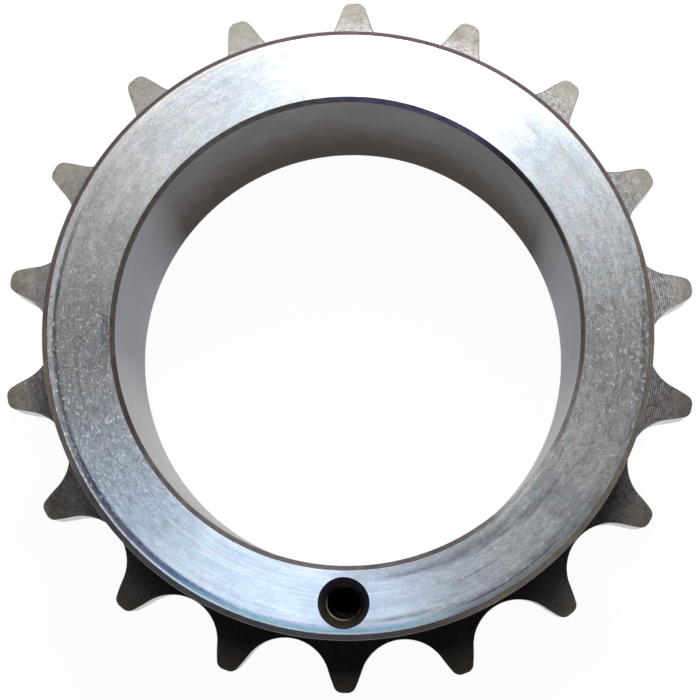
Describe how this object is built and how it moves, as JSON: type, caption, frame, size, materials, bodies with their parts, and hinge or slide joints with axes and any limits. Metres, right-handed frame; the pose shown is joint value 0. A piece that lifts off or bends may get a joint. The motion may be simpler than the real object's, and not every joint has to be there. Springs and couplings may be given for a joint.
{
  "type": "chain sprocket",
  "caption": "Ring-shaped steel chain sprocket with a large plain bore, a hub standing out on both sides of the teeth, and a countersunk threaded hole in the front hub face.",
  "frame": {"origin": "centre of the bore, on the rear hub face that it rests on", "axes": "+Z along the bore to the front hub face with the threaded hole; -Y from the bore's axis to the threaded hole and the tooth in line with it; +X into the middle of a tooth gap"},
  "size_m": [0.1458, 0.1478, 0.064],
  "materials": {
    "turned_steel": "bare turned steel with fine circular tool marks, light scratches and a little staining"
  },
  "bodies": {
    "root": {"chain_sprocket": "turned_steel"}
  },
  "joints": []
}
